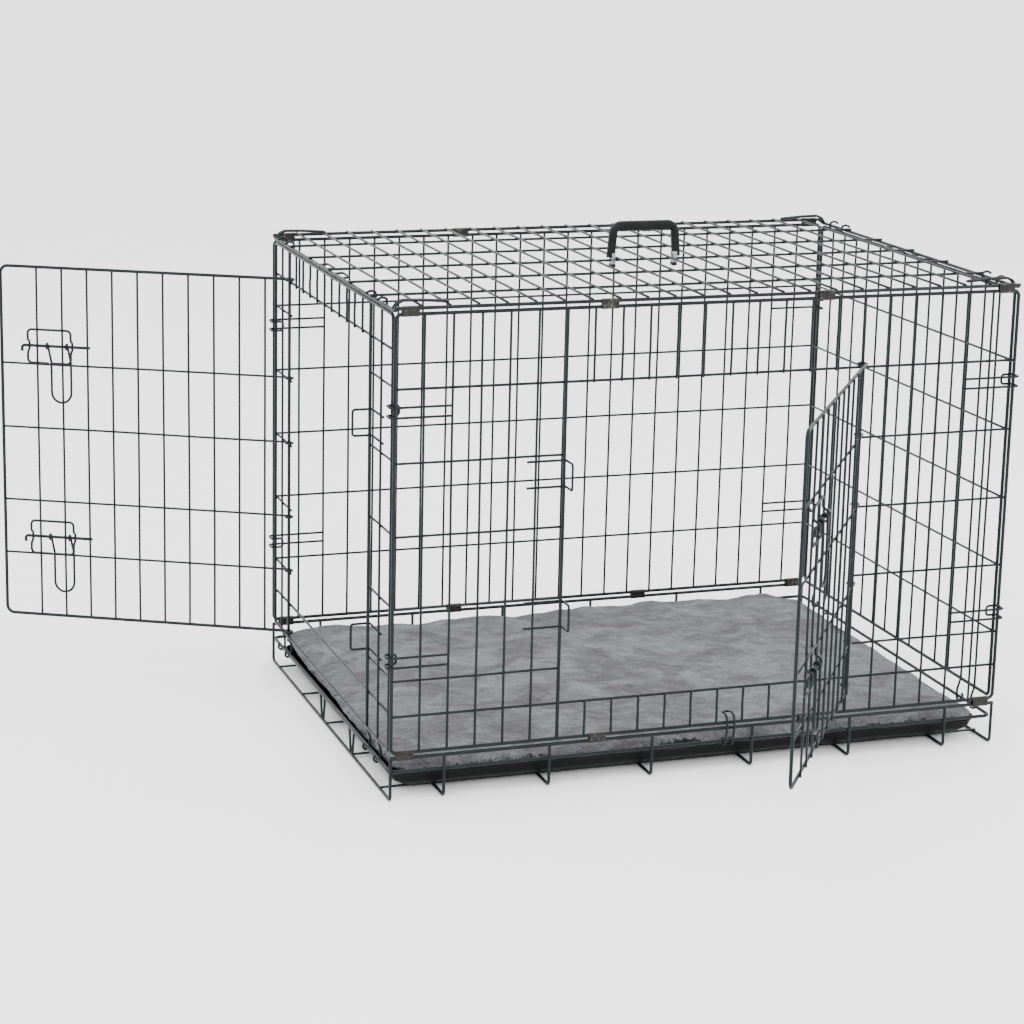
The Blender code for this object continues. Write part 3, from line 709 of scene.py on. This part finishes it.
def doors_and_catches():
    turned = math.atan2(-math.cos(LEFT_DOOR_ANGLE), -math.sin(LEFT_DOOR_ANGLE))
    on_left = door_place((-HALF_LENGTH - SHIFT_X, LEFT_HINGE_Y), turned)

    def left_door(s, z, n):
        return on_left(s, z, n, -1)

    door("left_door_wires", "left_door", "left_door_body", left_door, LEFT_DOOR_HEIGHTS)
    for word, z in LEFT_BOLT_HEIGHTS.items():
        bolt(f"left_{word}", "left_door_body", left_door, z)
        door_catch(f"left_{word}_catch", left_place, LEFT_LATCH_Y, z, "left_end")

    front_post = -HALF_LENGTH + FRONT_POSTS[1] * PITCH
    turned = math.atan2(-math.sin(FRONT_DOOR_ANGLE), -math.cos(FRONT_DOOR_ANGLE))
    on_front = door_place((front_post - SHIFT_X, -HALF_DEPTH), turned)

    def front_door(s, z, n):
        return on_front(s, z, n, 1)

    door("front_door_wires", "front_door", "front_door_body", front_door, FRONT_DOOR_HEIGHTS)
    for word, z in FRONT_BOLT_HEIGHTS.items():
        bolt(f"front_{word}", "front_door_body", front_door, z)
        door_catch(f"front_{word}_catch", front_place, front_post - CATCH_GAPS * PITCH, z, "crate")

    for row, place in (("front", front_place), ("back", back_place)):
        for end, side in (("left", -1), ("right", 1)):
            side_catch(f"side_catch_{row}_{end}_upper", place, side, level(1.3))
            side_catch(f"side_catch_{row}_{end}_lower", place, side, level(4.72))


def fold_hook():
    x, y = -HALF_LENGTH + 12.5 * PITCH - SHIFT_X, -HALF_DEPTH + 0.0039
    face = -0.0114
    half = 0.0065
    side = ring_points(KNUCKLE, 50, -180, 20) + [(face, 0.020), (face, 0.037), (face + 0.004, 0.0455),
                                                 (face + 0.0155, 0.048), (face + 0.0255, 0.0455)]
    path = [Vector((x - half, y + n, MID_RAIL_Z + h)) for n, h in side]
    path += [Vector((x + half, y + n, MID_RAIL_Z + h)) for n, h in reversed(side)]
    wire = tube(rounded(path, 0.0055, 3), THIN)
    piece("fold_hook_wire", [wire], ENAMEL, "hook", "fold_hook")


# ---------------------------------------------------------------- clips

def clip_mesh():
    """A crimped band round two rails: waisted between them, with two pressed grooves and bevelled ends."""
    wall = 0.0009
    half_wide, half_high, half_long = 0.0029, 0.0071, 0.0140
    section = []
    for angle in range(0, 360, 12):
        a = math.radians(angle)
        side, high = math.cos(a), math.sin(a)
        y = math.copysign(abs(side) ** 0.45, side) * half_wide
        z = math.copysign(abs(high) ** 0.55, high) * half_high
        waist = 1 - 0.20 * math.exp(-(z / 0.0016) ** 2)
        section.append((y * waist, z))
    half_swell = [(0.0026, 0.4), (0.0034, -0.1), (0.0044, -0.1),
                  (0.0052, 0.4), (0.0136, 0.35), (half_long, 0.0)]
    stations = [(-x, swell) for x, swell in reversed(half_swell)] + half_swell
    rings = []
    for x, swell in stations:
        wide = 1 + (wall + swell * 0.0006) / half_wide
        high = 1 + (wall + swell * 0.0004) / 0.0072
        rings.append([(x, y * wide, z * high) for y, z in section])
    for x in (half_long, -half_long):
        rings.append([(x, y, z) for y, z in section])
    return loft([[Vector(point) for point in ring] for ring in rings], closed=True)


def clips():
    vertices, faces = clip_mesh()
    for row in ("front", "back"):
        for height in ("top", "bottom"):
            for number in (1, 2, 3, 4):
                node = f"clip_{row}_{height}_{number}"
                low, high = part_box(node)
                centre = (low + high) / 2
                flip = random.choice((-1, 1))
                moved = [(centre.x + flip * v[0], centre.y + v[1], centre.z + v[2]) for v in vertices]
                piece(node + "_band", [(moved, faces)], CRIMP, "crate", node, 35)


# ---------------------------------------------------------------- handle

def soft_ring(half_across, half_deep, power):
    """A rounded rectangle's points. A smaller power makes it squarer."""
    ring = []
    for k in range(16):
        a = 2 * math.pi * k / 16
        c, s = math.cos(a), math.sin(a)
        ring.append((math.copysign(abs(c) ** power, c) * half_across,
                     math.copysign(abs(s) ** power, s) * half_deep))
    return ring


def block(centre, halves, levels):
    """A lofted block with rounded upright corners. Each level is a height and a scale."""
    rings = []
    for high, scale in levels:
        rings.append([centre + Vector((across, deep, high))
                      for across, deep in soft_ring(halves[0] * scale, halves[1] * scale, 0.4)])
    return loft(rings)


def handle():
    low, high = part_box("handle_grip")
    middle = (low.x + high.x) / 2
    half = 0.0595
    top = high.z - 0.0080
    base = LONG_WIRE_Z + 0.0045
    lean = 0.0045
    path = rounded([(middle - half, 0, base), (middle - half + lean, 0, top),
                    (middle + half - lean, 0, top), (middle + half, 0, base)], 0.013, 8)
    total = len(path)
    rings = []
    for index, point in enumerate(path):
        ahead = path[min(index + 1, total - 1)] - path[max(index - 1, 0)]
        ahead.normalize()
        side = Vector((0, 1, 0))
        up = side.cross(ahead).normalized()
        reach = abs(point.x - middle) / half
        thick = 0.0070 + 0.0038 * max(0.0, 1 - reach ** 2 * 1.3)
        rings.append([point + side * across + up * deep
                      for across, deep in soft_ring(0.0066, thick, 0.7)])
    piece("handle_bail", [loft(rings)], GRIP_BLACK, "handle", "handle_grip", 60)
    for name, side in (("handle_strap_left", -1), ("handle_strap_right", 1)):
        centre = Vector((middle + side * (half - 0.0035), 0, LONG_WIRE_Z))
        plate = block(centre, (0.0041, 0.0070),
                      ((-0.0070, 0.86), (-0.0060, 1.0), (0.0115, 1.0), (0.0125, 0.90)))
        piece(name + "_plate", [plate], ZINC, "handle", name, 35)
        foot = block(centre, (0.0044, 0.0078),
                     ((-0.0125, 0.70), (-0.0112, 0.95), (-0.0076, 1.0), (-0.0066, 0.92)))
        piece(name + "_foot", [foot], GRIP_BLACK, "handle", None, 35)


# ---------------------------------------------------------------- tray and mat

def outline(half_x, half_y, radius, z, steps):
    """A level ring with rounded corners, centred on the crate."""
    ring = []
    for corner, (sx, sy) in enumerate(((1, 1), (-1, 1), (-1, -1), (1, -1))):
        for step in range(steps + 1):
            a = math.radians(corner * 90 + step * 90 / steps)
            ring.append(Vector((sx * (half_x - radius) + radius * math.cos(a) - SHIFT_X,
                                sy * (half_y - radius) + radius * math.sin(a), z)))
    return ring


def tray():
    x, y = 0.518, 0.3525
    profile = [(-0.0250, 0.0086), (-0.0215, 0.0094), (-0.0075, 0.0185), (-0.0052, 0.0220), (-0.0026, 0.0300),
               (-0.0016, 0.0325), (0.0, 0.0335), (0.0004, 0.0350), (0.0, 0.0380), (-0.0012, 0.0386),
               (-0.0024, 0.0380), (-0.0036, 0.0330), (-0.0070, 0.0228), (-0.0095, 0.0200), (-0.0246, 0.0107)]
    rings = [outline(x + inset, y + inset, 0.026 + inset / 2, z, 10) for inset, z in profile]
    piece("tray_shell", [loft(rings)], TRAY_BLACK, "tray_body", "tray", 40)


def mat_blank():
    """The pad before it is puffed: a thin lofted cushion with rolled edges."""
    low = 0.0125
    profile = [(-0.060, low), (-0.034, low), (-0.020, 0.0200), (-0.013, 0.0330), (-0.010, 0.0390),
               (-0.001, 0.0405), (0.0, 0.0440), (-0.003, 0.0500), (-0.012, 0.0540), (-0.034, 0.0550)]
    x, y = MAT_HALF
    rings = [outline(x + inset, y + inset, 0.036 + inset * 0.8, z, 5) for inset, z in profile]
    vertices, faces = loft(rings)
    mesh = bpy.data.meshes.new("mat_pad")
    mesh.from_pydata(vertices, [], faces)
    pad = bpy.data.objects.new("mat_pad", mesh)
    bpy.context.collection.objects.link(pad)
    return pad


def apply_modifiers(target):
    graph = bpy.context.evaluated_depsgraph_get()
    mesh = bpy.data.meshes.new_from_object(target.evaluated_get(graph))
    target.modifiers.clear()
    target.data = mesh


def puff(pad):
    """Cloth under light pressure, with each point's travel capped, gives the pad its slack folds."""
    start = [vertex.co.copy() for vertex in pad.data.vertices]
    for vertex in pad.data.vertices:
        p = vertex.co
        lift = noise.noise(Vector((p.x * 5.0, p.y * 7.5, 3.1))) * 0.004
        lift += noise.noise(Vector((p.x * 13.0, p.y * 17.0, 8.4))) * 0.0022
        if p.z > MAT_TOP_FACE:
            vertex.co.z += lift
    cloth = pad.modifiers.new("cloth", "CLOTH")
    cloth.settings.use_pressure = True
    cloth.settings.uniform_pressure_force = 2.5
    cloth.settings.tension_stiffness = 12
    cloth.settings.compression_stiffness = 12
    cloth.settings.bending_stiffness = 0.6
    cloth.settings.shrink_min = -0.035
    cloth.settings.effector_weights.gravity = 0
    cloth.collision_settings.use_collision = False
    cloth.collision_settings.use_self_collision = False
    for number in range(1, 15):
        bpy.context.scene.frame_set(number)
    apply_modifiers(pad)
    for vertex, home in zip(pad.data.vertices, start):
        travel = vertex.co - home
        cap = 0.0065 if home.z > MAT_TOP_FACE else 0.0015
        if travel.length > cap:
            vertex.co = home + travel.normalized() * cap
    bpy.context.scene.frame_set(1)


def fluff(pad):
    """Swells, tufts and pile on the mat, with its right end pressed down and drawn in."""
    normals = [vertex.normal.copy() for vertex in pad.data.vertices]
    for vertex, normal in zip(pad.data.vertices, normals):
        p = vertex.co
        broad = noise.noise(Vector((p.x * 9.0, p.y * 14.0, 1.7))) * 0.0026
        tufts = noise.noise(Vector((p.x * 55.0, p.y * 80.0, p.z * 60.0))) * 0.0013
        pile = noise.noise(Vector((p.x * 190.0, p.y * 230.0, p.z * 210.0))) * 0.0007
        share = min(1.0, max(0.0, (p.z - 0.032) / 0.010))
        fold = noise.noise(Vector((p.x * 21.0, p.y * 16.0, 5.0)))
        rise = 0.003 + 0.005 * p.y / HALF_DEPTH + 0.0045 * fold
        right_end = min(1.0, max(0.0, (p.x + SHIFT_X - PRESSED_FROM) / PRESSED_OVER))
        slope = rise * share * (1 - right_end)
        vertex.co = p + normal * (broad + tufts + pile) * share + Vector((0, 0, slope))
        vertex.co.z = max(vertex.co.z, MAT_LOWEST)
        if vertex.co.z > PRESSED_ABOVE:
            above = vertex.co.z - PRESSED_ABOVE
            vertex.co.z = PRESSED_ABOVE + above * (1 - PRESSED_SHARE * right_end)
        beyond = vertex.co.x + SHIFT_X - DRAWN_IN_FROM
        if beyond > 0:
            vertex.co.x -= beyond * DRAWN_IN_SHARE


def mat():
    pad = mat_blank()
    remesh = pad.modifiers.new("remesh", "REMESH")
    remesh.mode = "VOXEL"
    remesh.voxel_size = 0.006
    apply_modifiers(pad)
    puff(pad)
    smooth = pad.modifiers.new("smooth", "SMOOTH")
    smooth.factor = 0.5
    smooth.iterations = 4
    fine = pad.modifiers.new("fine", "SUBSURF")
    fine.levels = 1
    fine.render_levels = 1
    apply_modifiers(pad)
    fluff(pad)
    pad.data.shade_smooth()
    pad.data.materials.clear()
    pad.data.materials.append(PLUSH)
    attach(pad, "mat_body")
    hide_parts("mat")


# ---------------------------------------------------------------- stage

def stage():
    bpy.ops.mesh.primitive_plane_add(size=60, location=(0, 0, -0.0004))
    floor = bpy.context.object
    floor.name = "floor"
    made = Nodes("floor_white")
    body = made.ramp(made.noise(0.7, 2), ((0.3, (0.94, 0.94, 0.94)), (0.7, (0.96, 0.96, 0.96))))
    made.link(body, "Base Color")
    made.set(Roughness=0.9, Specular_IOR_Level=0.1)
    floor.data.materials.append(made.material)

    world = bpy.data.worlds.new("studio")
    world.use_nodes = True
    world.node_tree.nodes["Background"].inputs["Color"].default_value = (1.0, 1.0, 1.0, 1.0)
    world.node_tree.nodes["Background"].inputs["Strength"].default_value = 2.6
    bpy.context.scene.world = world

    for name, place, aim, size, power in (("key", (-2.6, -3.4, 3.6), (0, 0, 0.3), 3.0, 130),
                                          ("fill", (3.8, -2.2, 2.4), (0, 0, 0.4), 3.0, 60),
                                          ("top", (0.2, 0.6, 4.2), (0, 0, 0.3), 3.5, 80)):
        light = bpy.data.lights.new(name, "AREA")
        light.size = size
        light.energy = power
        lamp = bpy.data.objects.new(name, light)
        lamp.location = place
        lamp.rotation_euler = (Vector(aim) - Vector(place)).to_track_quat("-Z", "Y").to_euler()
        bpy.context.collection.objects.link(lamp)

    data = bpy.data.cameras.new("camera")
    data.sensor_width = 36
    data.lens = 93.354
    data.shift_x = 0.0165
    data.shift_y = -0.0567
    camera = bpy.data.objects.new("camera", data)
    camera.location = (-1.6611 - SHIFT_X, -4.1413, 1.4879)
    camera.rotation_euler = Euler([math.radians(a) for a in (76.7749, -1.1886, -18.6851)], "XYZ")
    bpy.context.collection.objects.link(camera)
    bpy.context.scene.camera = camera


front_panel()
back_panel()
top_panel()
base_basket()
end_panels()
doors_and_catches()
fold_hook()
clips()
handle()
tray()
mat()
stage()

bpy.context.view_layer.update()
